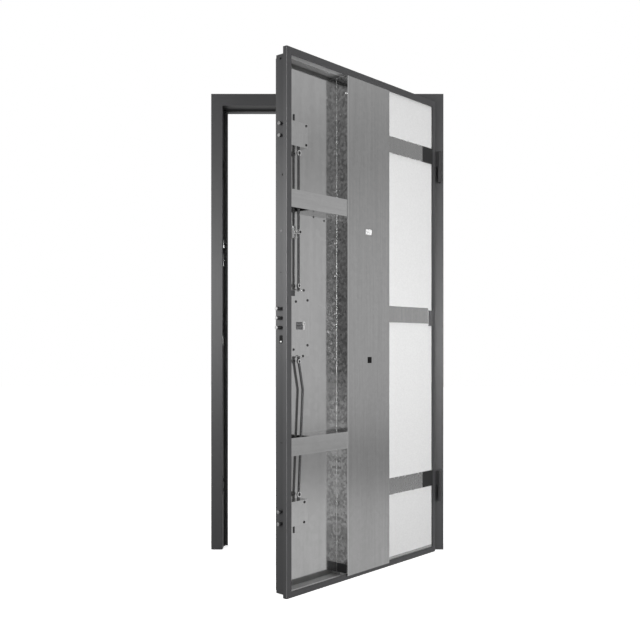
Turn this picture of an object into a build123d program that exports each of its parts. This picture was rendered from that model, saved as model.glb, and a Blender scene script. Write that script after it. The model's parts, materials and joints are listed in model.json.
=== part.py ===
import os

from build123d import *

# Security door set: a folded metal frame and a leaf hung on its right jamb, standing open.
# The inner face of the leaf is bare, so its bars, lock and filling show.
# Frame axes: X runs from the lock jamb to the hinge jamb, Y into the wall, Z up.
# The origin is on the wall face of the hinge jamb, at mid depth, where the frame meets the floor.
# Leaf axes before it is hung: s from the free edge, t back from the leaf's front, z up.

# Frame
frame_width = 1050.0
frame_height = 2060.0
frame_depth = 86.0
frame_gauge = 2.5
jamb_face = 51.0
head_face = 53.0
stop_width = 16.0

# Leaf shell
flange_overlap = 13.0
flange_standoff = 2.0
flange_depth = 18.0
leaf_gauge = 2.0
shell_depth = 75.0
back_lip = 34.0
floor_gap = 1.5
head_overlap = 7.0
lock_step = 24.0
hinge_step = 18.0
top_step = 15.0
bottom_step = 4.0
top_face = 28.0
bottom_face = 23.0
sheet_depth = 54.0
sheet_gauge = 1.5
exterior_depth = 10.0
exterior_inset = 8.0

# Hinges
axis_inset = 21.0
axis_standoff = 34.0
knuckle_radius = 8.5
pin_radius = 5.0
pin_clearance = 0.05
knuckle_gap = 0.4
knuckle_cap = 6.0
hinge_height = 136.0
upper_hinge_drop = 358.0
lower_hinge_level = 226.0
hinge_plate = 4.0
frame_plate_width = 18.0
frame_web = 7.0
open_angle = 49.2

# Centre panel and its openings
panel_start = 350.0
panel_width = 276.0
panel_gauge = 2.0
panel_foot = 14.0
viewer_centre = (486.0, 1382.0)
viewer_size = (42.0, 23.0)
spindle_centre = (491.0, 864.0)
spindle_size = 25.0
spindle_clearance = 0.3
spindle_proud = 1.0

# Stiffener under the centre panel
rib_flange = 20.0
rib_gauge = 2.0

# Crossbars, brackets and filling
bar_gauge = 2.0
lock_bar_notch = 104.0
lock_bar_height = 66.0
upper_lock_bar_drop = 583.0
lower_lock_bar_level = 518.0
hinge_bar_depth = 6.0
hinge_bar_height = 68.0
upper_hinge_bar_drop = 283.0
middle_hinge_bar_level = 1020.0
lower_hinge_bar_level = 299.0
bar_tuck = 22.0
hinge_bracket_width = 80.0
middle_bracket_width = 26.0
middle_bracket_gap = 11.0
middle_bracket_drop = 10.0
filling_inset = 0.5
ledge_gauge = 2.0
ledge_foot = 30.0
ledge_show = 12.0

# Lock, deviators and bolts
case_front = 32.0
case_width = 135.0
case_gauge = 2.0
lock_case_bottom = 883.0
lock_case_height = 246.0
upper_case_drop = 346.0
lower_case_bottom = 250.0
deviator_width = 126.0
deviator_height = 92.0
bolt_radius = 7.0
bolt_clearance = 0.3
bolt_depth = 50.0
bolt_inside = 52.0
bolt_chamfer = 1.5
carriage_thickness = 7.0
carriage_width = 18.0
lock_bolt_rises = (106.0, 141.0, 176.0)
lower_bolt_rises = (16.0, 61.0)
upper_bolt_drops = (316.0, 272.0)
bolt_proud = {"lock": 28.0, "upper": 14.0, "lower": 19.0}
window_start = 59.0
window_size = (39.0, 28.0)
cylinder_offset = 100.0
cylinder_rise = 122.0
cylinder_radius = 8.5
cylinder_slot = 10.0
cylinder_height = 33.0
cylinder_proud = 4.0

# Rods
rod_offset = 83.5
rod_standoff = 13.0
rod_radius = 5.0
rod_bend = 23.0
rod_bend_drop = 107.0
rod_clearance = 0.3
eye_radius = 8.0
eye_hole = 3.5
eye_thickness = 6.0
tongue_width = 10.0
tongue_thickness = 5.0
tongue_inside = 34.0
lock_eye_gap = 19.0
deviator_eye_gap = 22.0
guide_rise = 220.0
guide_height = 46.0
guide_block = 18.0
guide_foot = 2.0
guide_start = 58.0

# Strikes and seal on the frame
strike_gauge = 2.0
strike_width = 34.0
strike_clearance = 3.0
strike_margin = 10.0
limiter_level = 1347.0
limiter_height = 140.0
seal_width = 5.0
seal_depth = 12.0

# Places worked out from the sizes above
front_y = -frame_depth / 2
leaf_width = frame_width - 2 * (jamb_face - flange_overlap)
leaf_left = -frame_width + jamb_face - flange_overlap
leaf_front = front_y - flange_standoff - flange_depth
leaf_top = frame_height - head_face + head_overlap
body_bottom = floor_gap + bottom_step
body_top = leaf_top - top_step
inner_bottom = body_bottom + leaf_gauge
inner_top = body_top - leaf_gauge
bay_bottom = floor_gap + bottom_face
bay_top = leaf_top - top_face
lock_web = lock_step + leaf_gauge
hinge_web = leaf_width - hinge_step - leaf_gauge
axis_x = -axis_inset
axis_y = front_y - axis_standoff
shell_back = shell_depth - leaf_gauge
panel_end = panel_start + panel_width
rod_s = lock_web + rod_offset
rod_depth = sheet_depth - rod_standoff
bolt_y = leaf_front + bolt_depth
lock_top = lock_case_bottom + lock_case_height
lower_top = lower_case_bottom + deviator_height
upper_case_bottom = leaf_top - upper_case_drop
guide_level = lock_top + guide_rise
cylinder_level = lock_case_bottom + cylinder_rise
hinge_levels = {"upper": leaf_top - upper_hinge_drop, "lower": lower_hinge_level}
lock_bar_levels = {"upper": leaf_top - upper_lock_bar_drop, "lower": lower_lock_bar_level}
hinge_bar_levels = {
    "upper": leaf_top - upper_hinge_bar_drop,
    "middle": middle_hinge_bar_level,
    "lower": lower_hinge_bar_level,
}
bolt_levels = {
    "lock": tuple(lock_case_bottom + rise for rise in lock_bolt_rises),
    "upper": tuple(leaf_top - drop for drop in upper_bolt_drops),
    "lower": tuple(lower_case_bottom + rise for rise in lower_bolt_rises),
}
cases = {
    "lock": (lock_case_bottom, lock_case_height, case_width),
    "upper": (upper_case_bottom, deviator_height, deviator_width),
    "lower": (lower_case_bottom, deviator_height, deviator_width),
}
hang = Pos(axis_x, axis_y, 0) * Rot(0, 0, open_angle) * Pos(leaf_left - axis_x, leaf_front - axis_y, 0)


def block(low, high):
    """Box between two corners."""
    size = [b - a for a, b in zip(low, high)]
    return Pos(*low) * Box(*size, align=(Align.MIN, Align.MIN, Align.MIN))


def rod_along(start, direction, radius, length):
    """Round bar from a point along a direction."""
    return extrude(Plane(start, z_dir=direction) * Circle(radius), amount=length)


def bent_sheet(points, gauge):
    """Section of a folded sheet whose outer side follows the points, with its metal on their right."""
    line = Polyline(*points)
    return make_face(offset(line, gauge, kind=Kind.INTERSECTION, side=Side.RIGHT, closed=True))


# Frame: a hollow section whose back sheet runs on as a stop lip, mitred at the head
def frame_section(face):
    lip_front = frame_depth - frame_gauge
    outline = Polyline(
        (0, 0),
        (face, 0),
        (face, lip_front),
        (face + stop_width, lip_front),
        (face + stop_width, frame_depth),
        (0, frame_depth),
        close=True,
    )
    hollow = Polyline(
        (frame_gauge, frame_gauge),
        (face - frame_gauge, frame_gauge),
        (face - frame_gauge, lip_front),
        (frame_gauge, lip_front),
        close=True,
    )
    return make_face(outline) - make_face(hollow)


def corner_wedge(corner_x, inward):
    """Everything above the mitre line that leaves the outer top corner of the frame."""
    reach = frame_width / 2
    fall = reach * head_face / jamb_face
    outline = Polyline(
        (corner_x, frame_height),
        (corner_x + inward * reach, frame_height - fall),
        (corner_x + inward * reach, frame_height + fall),
        (corner_x, frame_height + fall),
        close=True,
    )
    side = Plane((0, front_y, 0), x_dir=(1, 0, 0), z_dir=(0, -1, 0))
    return extrude(side * make_face(outline), amount=-frame_depth)


lock_side = Plane((-frame_width, front_y, 0), x_dir=(1, 0, 0), z_dir=(0, 0, 1))
hinge_side = Plane((0, front_y, frame_height), x_dir=(-1, 0, 0), z_dir=(0, 0, -1))
head_side = Plane((-frame_width, front_y, frame_height), x_dir=(0, 0, -1), z_dir=(1, 0, 0))
lock_wedge = corner_wedge(-frame_width, 1)
hinge_wedge = corner_wedge(0, -1)
lock_jamb = extrude(lock_side * frame_section(jamb_face), amount=frame_height) - lock_wedge
hinge_jamb = extrude(hinge_side * frame_section(jamb_face), amount=frame_height) - hinge_wedge
head_bar = extrude(head_side * frame_section(head_face), amount=frame_width)
head = head_bar & (lock_wedge + hinge_wedge)


# Seal on the front of the stop, up both jambs and across the head
def make_stop_seal():
    seal_back = front_y + frame_depth - frame_gauge
    top = frame_height - head_face
    outer = block(
        (-frame_width + jamb_face, seal_back - seal_depth, 0),
        (-jamb_face, seal_back, top),
    )
    inner = block(
        (-frame_width + jamb_face + seal_width, front_y, 0),
        (-jamb_face - seal_width, front_y + frame_depth, top - seal_width),
    )
    return outer - inner


# Strike plates on the lock jamb, with a hole for each bolt through plate and jamb
reveal_x = -frame_width + jamb_face
strike_y = bolt_y - strike_width / 2
strike_hole = bolt_radius + strike_clearance
strikes = {}
for name, levels in bolt_levels.items():
    low = min(levels) - strike_hole - strike_margin
    high = max(levels) + strike_hole + strike_margin
    plate = block((reveal_x, strike_y, low), (reveal_x + strike_gauge, strike_y + strike_width, high))
    for level in levels:
        start = (reveal_x - frame_gauge, bolt_y, level)
        hole = rod_along(start, (1, 0, 0), strike_hole, frame_gauge + strike_gauge)
        plate = plate - hole
        lock_jamb = lock_jamb - hole
    strikes[name + "_strike"] = plate
strikes["limiter_strike"] = block(
    (reveal_x, strike_y, limiter_level - limiter_height / 2),
    (reveal_x + strike_gauge, strike_y + strike_width, limiter_level + limiter_height / 2),
)


# Lift-off hinges: the frame half is below with the pin, the leaf half drops over it
def frame_hinge(level):
    half = hinge_height / 2
    knuckle = rod_along((axis_x, axis_y, level), (0, 0, 1), knuckle_radius, half)
    pin = rod_along((axis_x, axis_y, level + half), (0, 0, 1), pin_radius, half - knuckle_cap)
    plate = block(
        (axis_x - frame_plate_width / 2, front_y - hinge_plate, level),
        (axis_x + frame_plate_width / 2, front_y, level + half),
    )
    web = block((axis_x - frame_web / 2, axis_y, level), (axis_x + frame_web / 2, front_y, level + half))
    return knuckle + pin + plate + web


def leaf_hinge(level):
    half = hinge_height / 2 - knuckle_gap
    start = level + hinge_height / 2 + knuckle_gap
    axis_s = axis_x - leaf_left
    axis_t = axis_y - leaf_front
    knuckle = rod_along((axis_s, axis_t, start), (0, 0, 1), knuckle_radius, half)
    bore = rod_along((axis_s, axis_t, start), (0, 0, 1), pin_radius + pin_clearance, half - knuckle_cap)
    plate = block((leaf_width, 0, start), (leaf_width + hinge_plate, flange_depth, start + half))
    web = block((leaf_width, 0, start), (axis_s, hinge_plate, start + half))
    tail = block((axis_s - knuckle_radius, axis_t, start), (axis_s, hinge_plate, start + half))
    return knuckle + plate + web + tail - bore


# Leaf shell: four folded members with an outer flange, a web and a back lip
def member_section(face, step):
    return bent_sheet(
        [
            (face, 0),
            (0, 0),
            (0, flange_depth),
            (step, flange_depth),
            (step, shell_depth),
            (step + back_lip, shell_depth),
        ],
        leaf_gauge,
    )


leaf_height = leaf_top - floor_gap
top_trim = block((0, flange_depth, body_top), (leaf_width, shell_depth, leaf_top))
bottom_trim = block((0, flange_depth, floor_gap), (leaf_width, shell_depth, body_bottom))
lock_plane = Plane((0, 0, floor_gap), x_dir=(1, 0, 0), z_dir=(0, 0, 1))
hinge_plane = Plane((leaf_width, 0, leaf_top), x_dir=(-1, 0, 0), z_dir=(0, 0, -1))
top_plane = Plane((lock_web, 0, leaf_top), x_dir=(0, 0, -1), z_dir=(1, 0, 0))
bottom_plane = Plane((hinge_web, 0, floor_gap), x_dir=(0, 0, 1), z_dir=(-1, 0, 0))
rail_length = hinge_web - lock_web
hinge_face = hinge_step + leaf_gauge
lock_stile = extrude(lock_plane * member_section(lock_web, lock_step), amount=leaf_height)
lock_stile = lock_stile - top_trim - bottom_trim
hinge_stile = extrude(hinge_plane * member_section(hinge_face, hinge_step), amount=leaf_height)
hinge_stile = hinge_stile - top_trim - bottom_trim
top_rail = extrude(top_plane * member_section(top_face, top_step), amount=rail_length)
top_rail = top_rail - lock_stile - hinge_stile
bottom_rail = extrude(bottom_plane * member_section(bottom_face, bottom_step), amount=rail_length)
bottom_rail = bottom_rail - lock_stile - hinge_stile
for levels in bolt_levels.values():
    for level in levels:
        start = (lock_step, bolt_depth, level)
        hole = rod_along(start, (1, 0, 0), bolt_radius + bolt_clearance, leaf_gauge)
        lock_stile = lock_stile - hole

# Inner sheet across the leaf, cut out round the lock cases
back_sheet = block(
    (lock_web, sheet_depth, inner_bottom),
    (hinge_web, sheet_depth + sheet_gauge, inner_top),
)
for bottom, height, width in cases.values():
    back_sheet = back_sheet - block(
        (lock_web, sheet_depth, bottom),
        (lock_web + width, sheet_depth + sheet_gauge, bottom + height),
    )

# Aluminium cladding on the back lips
exterior_panel = block(
    (lock_step + exterior_inset, shell_depth, body_bottom + exterior_inset),
    (
        leaf_width - hinge_step - exterior_inset,
        shell_depth + exterior_depth,
        body_top - exterior_inset,
    ),
)


# Centre panel: a flat sheet from under the top flange down over the bottom one
def make_centre_panel():
    panel = block((panel_start, -panel_gauge, floor_gap + panel_foot), (panel_end, 0, bay_top))
    through = 3 * panel_gauge
    viewer = Pos(viewer_centre[0], 0, viewer_centre[1]) * Box(viewer_size[0], through, viewer_size[1])
    spindle = Pos(spindle_centre[0], 0, spindle_centre[1]) * Box(spindle_size, through, spindle_size)
    return panel - viewer - spindle


def make_spindle_insert():
    half = spindle_size / 2 - spindle_clearance
    return block(
        (spindle_centre[0] - half, -panel_gauge - spindle_proud, spindle_centre[1] - half),
        (spindle_centre[0] + half, hinge_bar_depth, spindle_centre[1] + half),
    )


# Stiffener under the lock edge of the centre panel: a channel that stands on the inner sheet
def make_stiffener_rib():
    section = bent_sheet(
        [
            (panel_start + rib_flange, 0),
            (panel_start, 0),
            (panel_start, sheet_depth),
            (panel_start + rib_flange, sheet_depth),
        ],
        rib_gauge,
    )
    return extrude(Plane((0, 0, bay_bottom)) * section, amount=bay_top - bay_bottom)


# Crossbars and hinge brackets: channels with their backs to the room
def channel(start, end, level, height, depth):
    section = bent_sheet([(depth, 0), (0, 0), (0, height), (depth, height)], bar_gauge)
    side = Plane((start, 0, level), x_dir=(0, 1, 0), z_dir=(1, 0, 0))
    return extrude(side * section, amount=end - start)


bars = {}
for name, level in lock_bar_levels.items():
    bar = channel(lock_web, panel_start, level, lock_bar_height, sheet_depth)
    rod_notch = block(
        (lock_web, bar_gauge, level),
        (lock_web + lock_bar_notch, sheet_depth, level + lock_bar_height),
    )
    bars[name + "_lock_bar"] = bar - rod_notch
for name, level in hinge_bar_levels.items():
    bracket_width = hinge_bracket_width
    bracket_gap = 0.0
    bracket_level = level
    if name == "middle":
        bracket_width = middle_bracket_width
        bracket_gap = middle_bracket_gap
        bracket_level = level - middle_bracket_drop
    bracket_start = hinge_web - bracket_width
    bars[name + "_hinge_bar"] = channel(
        panel_end - bar_tuck, bracket_start - bracket_gap, level, hinge_bar_height, hinge_bar_depth
    )
    bars[name + "_hinge_bracket"] = channel(
        bracket_start, hinge_web, bracket_level, hinge_bar_height, hinge_bar_depth
    )

# Filling: a foam board on an angle that shows above the bottom flange
filling_start = panel_start + rib_flange + filling_inset
ledge_side = Plane((filling_start, 0, 0), x_dir=(0, 1, 0), z_dir=(1, 0, 0))
ledge_section = bent_sheet(
    [
        (hinge_bar_depth + ledge_foot, inner_bottom),
        (hinge_bar_depth - ledge_gauge, inner_bottom),
        (hinge_bar_depth - ledge_gauge, bay_bottom + ledge_show),
    ],
    ledge_gauge,
)
filling_ledge = extrude(ledge_side * ledge_section, amount=hinge_web - filling_start)
insulation = block(
    (filling_start, hinge_bar_depth, inner_bottom + ledge_gauge),
    (hinge_web - filling_inset, sheet_depth, inner_top - filling_inset),
)


# Lock and deviator cases: thin boxes on the back lip of the lock stile
def make_case(name, slot_ends):
    low, height, width = cases[name]
    end = lock_web + width
    outer = block((lock_web, case_front, low), (end, shell_back, low + height))
    inner = block(
        (lock_web + case_gauge, case_front + case_gauge, low + case_gauge),
        (end - case_gauge, shell_back - case_gauge, low + height - case_gauge),
    )
    case = outer - inner
    for level in bolt_levels[name]:
        start = (lock_web, bolt_depth, level)
        case = case - rod_along(start, (1, 0, 0), bolt_radius + bolt_clearance, case_gauge)
    for slot_end in slot_ends:
        slot = Box(
            tongue_width + 2 * rod_clearance,
            tongue_thickness + 2 * rod_clearance,
            3 * case_gauge,
        )
        case = case - Pos(rod_s, rod_depth, slot_end) * slot
    return case


def cylinder_outline():
    """Euro profile: a round barrel over a narrow stem."""
    barrel = Circle(cylinder_radius)
    stem_height = cylinder_height - cylinder_radius
    stem = Pos(0, -stem_height / 2) * Rectangle(cylinder_slot, stem_height)
    stem_foot = Pos(0, -stem_height + cylinder_slot / 2) * Circle(cylinder_slot / 2)
    return barrel + Pos(0, cylinder_slot / 4) * stem + Pos(0, cylinder_slot / 4) * stem_foot


cylinder_plane = Plane(
    (lock_web + cylinder_offset, case_front - cylinder_proud, cylinder_level),
    x_dir=(1, 0, 0),
    z_dir=(0, -1, 0),
)
cylinder_length = shell_depth + exterior_depth - case_front + 2 * cylinder_proud
lock_cylinder = extrude(cylinder_plane * cylinder_outline(), amount=-cylinder_length)
exterior_panel = exterior_panel - lock_cylinder
window_low = cylinder_level - cylinder_height / 2 - window_size[1] / 2 + cylinder_radius
lock_window = block(
    (lock_web + window_start, case_front, window_low),
    (lock_web + window_start + window_size[0], case_front + case_gauge, window_low + window_size[1]),
)
lock_case = make_case("lock", (lock_case_bottom, lock_top)) - lock_cylinder - lock_window
upper_deviator = make_case("upper", (upper_case_bottom,))
lower_deviator = make_case("lower", (lower_top,))


# Bolts: round bars on one carriage inside each case, shown thrown
def make_bolts(levels, proud):
    bolt_end = lock_web + bolt_inside
    bolts = block(
        (bolt_end - carriage_width, bolt_depth - carriage_thickness / 2, min(levels)),
        (bolt_end, bolt_depth + carriage_thickness / 2, max(levels)),
    )
    for level in levels:
        start = (lock_step - proud, bolt_depth, level)
        bolt = rod_along(start, (1, 0, 0), bolt_radius, bolt_end - lock_step + proud)
        tip = bolt.edges().filter_by(GeomType.CIRCLE).sort_by(Axis.X)[0]
        bolts = bolts + chamfer(tip, bolt_chamfer)
    return bolts


# Rods between the lock and the deviators: an eye at each end and a tongue into each case
def rod_end(eye_level, case_edge):
    eye_plane = Plane((rod_s, rod_depth - eye_thickness / 2, eye_level), z_dir=(0, 1, 0))
    eye = extrude(eye_plane * Circle(eye_radius), amount=eye_thickness)
    hole = extrude(eye_plane * Circle(eye_hole), amount=eye_thickness)
    inside = case_edge + tongue_inside if case_edge > eye_level else case_edge - tongue_inside
    tongue = block(
        (rod_s - tongue_width / 2, rod_depth - tongue_thickness / 2, min(eye_level, inside)),
        (rod_s + tongue_width / 2, rod_depth + tongue_thickness / 2, max(eye_level, inside)),
    )
    return eye + tongue, hole


def make_rod(low_case, low_gap, high_case, high_gap, bend):
    low_eye = low_case + low_gap
    high_eye = high_case - high_gap
    low_end, low_hole = rod_end(low_eye, low_case)
    high_end, high_hole = rod_end(high_eye, high_case)
    foot = (rod_s, rod_depth, low_eye)
    crown = (rod_s, rod_depth, high_eye)
    if bend:
        knee = (rod_s + bend, rod_depth, high_eye - rod_bend_drop)
        path = Polyline(foot, knee, crown)
    else:
        path = Line(foot, crown)
    section = Plane(foot, z_dir=path % 0) * Circle(rod_radius)
    bar = sweep(section, path=path, transition=Transition.RIGHT)
    return bar + low_end + high_end - low_hole - high_hole


upper_rod = make_rod(lock_top, lock_eye_gap, upper_case_bottom, deviator_eye_gap, 0)
lower_rod = make_rod(lower_top, deviator_eye_gap, lock_case_bottom, lock_eye_gap, rod_bend)


# Guide that keeps the upper rod off the inner sheet
def make_rod_guide():
    half = guide_block / 2
    low = guide_level - guide_height / 2
    foot = block(
        (lock_web + guide_start, sheet_depth - guide_foot, low),
        (rod_s + half, sheet_depth, low + guide_height),
    )
    body = block(
        (rod_s - half, rod_depth - half, guide_level - half),
        (rod_s + half, sheet_depth, guide_level + half),
    )
    bore = rod_along((rod_s, rod_depth, low), (0, 0, 1), rod_radius + rod_clearance, guide_height)
    return foot + body - bore


fixed = {
    "lock_jamb": lock_jamb,
    "hinge_jamb": hinge_jamb,
    "head": head,
    "stop_seal": make_stop_seal(),
    "upper_frame_hinge": frame_hinge(hinge_levels["upper"]),
    "lower_frame_hinge": frame_hinge(hinge_levels["lower"]),
    **strikes,
}
hung = {
    "lock_stile": lock_stile,
    "hinge_stile": hinge_stile,
    "top_rail": top_rail,
    "bottom_rail": bottom_rail,
    "back_sheet": back_sheet,
    "exterior_panel": exterior_panel,
    "centre_panel": make_centre_panel(),
    "spindle_insert": make_spindle_insert(),
    "insulation": insulation,
    "filling_ledge": filling_ledge,
    "stiffener_rib": make_stiffener_rib(),
    "lock_case": lock_case,
    "lock_cylinder": lock_cylinder,
    "upper_deviator": upper_deviator,
    "lower_deviator": lower_deviator,
    "rod_guide": make_rod_guide(),
    "upper_leaf_hinge": leaf_hinge(hinge_levels["upper"]),
    "lower_leaf_hinge": leaf_hinge(hinge_levels["lower"]),
    "upper_rod": upper_rod,
    "lower_rod": lower_rod,
    **bars,
}
for name, levels in bolt_levels.items():
    hung[name + "_bolts"] = make_bolts(levels, bolt_proud[name])

os.makedirs("parts", exist_ok=True)
for name, shape in fixed.items():
    export_step(shape, "parts/" + name + ".step")
for name, shape in hung.items():
    export_step(hang * shape, "parts/" + name + ".step")
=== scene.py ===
import json
import math

import bmesh
import bpy
from mathutils import Matrix, Vector


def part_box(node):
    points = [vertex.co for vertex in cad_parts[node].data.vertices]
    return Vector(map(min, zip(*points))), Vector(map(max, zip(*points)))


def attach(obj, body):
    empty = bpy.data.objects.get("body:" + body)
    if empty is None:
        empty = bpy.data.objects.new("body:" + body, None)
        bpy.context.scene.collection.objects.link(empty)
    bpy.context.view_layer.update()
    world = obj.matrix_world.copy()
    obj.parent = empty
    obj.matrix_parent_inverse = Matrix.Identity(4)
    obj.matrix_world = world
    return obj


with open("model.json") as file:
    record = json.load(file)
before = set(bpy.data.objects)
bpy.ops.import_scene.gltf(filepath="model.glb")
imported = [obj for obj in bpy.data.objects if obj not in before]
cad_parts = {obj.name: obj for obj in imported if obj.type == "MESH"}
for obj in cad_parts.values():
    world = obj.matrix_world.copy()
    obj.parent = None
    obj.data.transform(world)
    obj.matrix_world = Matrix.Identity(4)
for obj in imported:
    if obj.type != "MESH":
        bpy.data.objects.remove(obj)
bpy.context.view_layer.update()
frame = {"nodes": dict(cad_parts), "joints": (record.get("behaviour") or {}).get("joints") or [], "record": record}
nodes = frame["nodes"]
mm = 0.001
print("frame loaded:", len(nodes), "nodes")

# leaf axes: s from the free edge to the hinge, t from the room face to the back, z up
throwJoint = next(j for j in frame["joints"] if j["name"] == "lock_bolt_throw")
sDir = -Vector(throwJoint["axis"]).normalized()
zDir = Vector((0.0, 0.0, 1.0))
tDir = zDir.cross(sDir)


def reach(node, direction):
    spots = [v.co.dot(direction) for v in nodes[node].data.vertices]
    return min(spots), max(spots)


leafOrigin = sDir * reach("lock_stile", sDir)[0] + tDir * reach("lock_stile", tDir)[0]
leafMatrix = Matrix.Translation(leafOrigin) @ Matrix((sDir, tDir, zDir)).transposed().to_4x4()
leafInverse = leafMatrix.inverted()
leafTurn = math.atan2(sDir.y, sDir.x)


def leafSpan(node):
    # lowest and highest s, t and z of a node, in leaf axes
    corners = [leafInverse @ v.co for v in nodes[node].data.vertices]
    low = Vector([min(c[i] for c in corners) for i in range(3)])
    high = Vector([max(c[i] for c in corners) for i in range(3)])
    return low, high


# turns a local +z towards the room, the free edge or the outside of the leaf
facing = {
    "room": Matrix(((1, 0, 0), (0, 0, -1), (0, 1, 0))).to_4x4(),
    "edge": Matrix(((0, 0, -1), (0, 1, 0), (1, 0, 0))).to_4x4(),
    "outside": Matrix(((0, 1, 0), (0, 0, 1), (1, 0, 0))).to_4x4(),
}


def leafSpot(s, t, z, side):
    return leafMatrix @ Matrix.Translation((s, t, z)) @ facing[side]


# colours and shader nodes
def toLinear(hexColour):
    channels = [int(hexColour[i:i + 2], 16) / 255 for i in (1, 3, 5)]
    linear = [c / 12.92 if c <= 0.04045 else ((c + 0.055) / 1.055) ** 2.4 for c in channels]
    return (*linear, 1.0)


def perMetre(sizeMm):
    return 1.0 / (sizeMm * mm)  # scale of a pattern whose feature is sizeMm wide


def addNode(tree, kind, settings=None, links=None):
    # settings are attributes or input values; links are input: (node, output)
    node = tree.nodes.new(kind)
    for key, value in (settings or {}).items():
        if isinstance(key, int) or not hasattr(node, key):
            node.inputs[key].default_value = value
        else:
            setattr(node, key, value)
    for key, (source, output) in (links or {}).items():
        tree.links.new(source.outputs[output], node.inputs[key])
    return node


def newMaterial(name):
    material = bpy.data.materials.new(name)
    material.use_nodes = True
    material.node_tree.nodes.clear()
    return material, material.node_tree


def closeMaterial(tree, shader):
    addNode(tree, "ShaderNodeOutputMaterial", None, {"Surface": (shader, 0)})


# depth of the bumps of peel, ripple and beads
relief = {"peelMm": 0.3, "rippleMm": 0.5, "beadMm": 0.4}


def coatShader(tree, place, look):
    # cloudy colour and gloss over orange peel, which is drawn on the coarse side to show close up
    cloud = addNode(tree, "ShaderNodeTexNoise", {"Scale": perMetre(look["cloudMm"]), "Detail": 5.0, "Roughness": 0.6},
                    {"Vector": (place, "Object")})
    tint = addNode(tree, "ShaderNodeMix", {"data_type": "RGBA", 6: toLinear(look["dark"]), 7: toLinear(look["light"])},
                   {0: (cloud, "Fac")})
    rough = addNode(tree, "ShaderNodeMapRange", {"To Min": look["roughness"][0], "To Max": look["roughness"][1]},
                    {"Value": (cloud, "Fac")})
    peel = addNode(tree, "ShaderNodeTexNoise", {"Scale": perMetre(look["peelMm"]), "Detail": 2.0},
                   {"Vector": (place, "Object")})
    bump = addNode(tree, "ShaderNodeBump", {"Strength": look["peel"], "Distance": relief["peelMm"] * mm},
                   {"Height": (peel, "Fac")})
    return addNode(tree, "ShaderNodeBsdfPrincipled", {"Specular IOR Level": look["shine"]},
                   {"Base Color": (tint, 2), "Roughness": (rough, 0), "Normal": (bump, 0)})


def zincShader(tree, place, look):
    # spangle crystals and rolled streaks vary the colour, the gloss and a faint ripple
    spangle = addNode(tree, "ShaderNodeTexVoronoi", {"Scale": perMetre(look["spangleMm"])},
                      {"Vector": (place, "Object")})
    crystal = addNode(tree, "ShaderNodeSeparateColor", None, {"Color": (spangle, "Color")})
    # the streaks are stretched along the rolling, in the leaf's own axes
    rolling = addNode(tree, "ShaderNodeMapping",
                      {"vector_type": "TEXTURE", "Rotation": (0.0, 0.0, leafTurn), "Scale": look["roll"]},
                      {"Vector": (place, "Object")})
    streak = addNode(tree, "ShaderNodeTexNoise",
                     {"Scale": perMetre(look["streakMm"]), "Detail": 6.0, "Roughness": 0.65}, {"Vector": (rolling, 0)})
    blend = addNode(tree, "ShaderNodeMix", {"data_type": "FLOAT", 0: look["crystals"]},
                    {2: (streak, "Fac"), 3: (crystal, 0)})
    tint = addNode(tree, "ShaderNodeMix", {"data_type": "RGBA", 6: toLinear(look["dark"]), 7: toLinear(look["light"])},
                   {0: (blend, 0)})
    rough = addNode(tree, "ShaderNodeMapRange", {"To Min": look["roughness"][0], "To Max": look["roughness"][1]},
                    {"Value": (crystal, 1)})
    wave = addNode(tree, "ShaderNodeTexNoise", {"Scale": perMetre(look["waveMm"]), "Detail": 3.0},
                   {"Vector": (rolling, 0)})
    bump = addNode(tree, "ShaderNodeBump", {"Strength": look["wave"], "Distance": relief["rippleMm"] * mm},
                   {"Height": (wave, "Fac")})
    return addNode(tree, "ShaderNodeBsdfPrincipled", {"Metallic": look["metallic"]},
                   {"Base Color": (tint, 2), "Roughness": (rough, 0), "Normal": (bump, 0)})


# satin powder coat on steel: dark grey, softly glossy, slightly pebbled like orange peel
powderCoat = {
    "dark": "#3d3d3e", "light": "#454546", "cloudMm": 320.0, "peelMm": 6.0, "peel": 0.10, "roughness": (0.36, 0.46),
    "shine": 0.3,
}
# fine-textured coat on the aluminium cladding: a little flatter and grittier than the frame
claddingCoat = {
    "dark": "#38393a", "light": "#424344", "cloudMm": 420.0, "peelMm": 3.0, "peel": 0.25, "roughness": (0.5, 0.62),
    "shine": 0.4,
}
# black lacquer dipped over pressed brackets and strikes: thin, dark and shiny
blackLacquer = {
    "dark": "#101011", "light": "#1a1a1b", "cloudMm": 60.0, "peelMm": 4.0, "peel": 0.12, "roughness": (0.32, 0.45),
    "shine": 0.35,
}
# the frame's coat over the hinges: darker, with smaller clouds
hingeCoat = {**powderCoat, "dark": "#2c2c2d", "light": "#373738", "cloudMm": 40.0}
# the frame's coat on the middle bracket: a little paler
bracketCoat = {**powderCoat, "dark": "#4e4e4f", "light": "#5a5a5b"}
# skin-passed galvanised sheet: bright enough to mirror what stands on it
brightSheet = {
    "dark": "#b2b2b2", "light": "#c7c7c7", "spangleMm": 22.0, "crystals": 0.2, "streakMm": 26.0,
    "roll": (1.0, 1.0, 16.0), "waveMm": 160.0, "wave": 0.04, "roughness": (0.08, 0.13), "metallic": 0.95,
}
# galvanised channel wall: darker, with crystals that show
mottledZinc = {
    "dark": "#6a6a6a", "light": "#c8c8c8", "spangleMm": 9.0, "crystals": 0.62, "streakMm": 7.0,
    "roll": (1.0, 1.0, 12.0), "waveMm": 60.0, "wave": 0.05, "roughness": (0.10, 0.20), "metallic": 1.0,
}
# rolled galvanised panel: long vertical streaks and a soft sheen
rolledZinc = {
    "dark": "#a2a2a2", "light": "#bfbfbf", "spangleMm": 14.0, "crystals": 0.12, "streakMm": 9.0,
    "roll": (1.0, 1.0, 40.0), "waveMm": 140.0, "wave": 0.05, "roughness": (0.16, 0.22), "metallic": 1.0,
}
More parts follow.
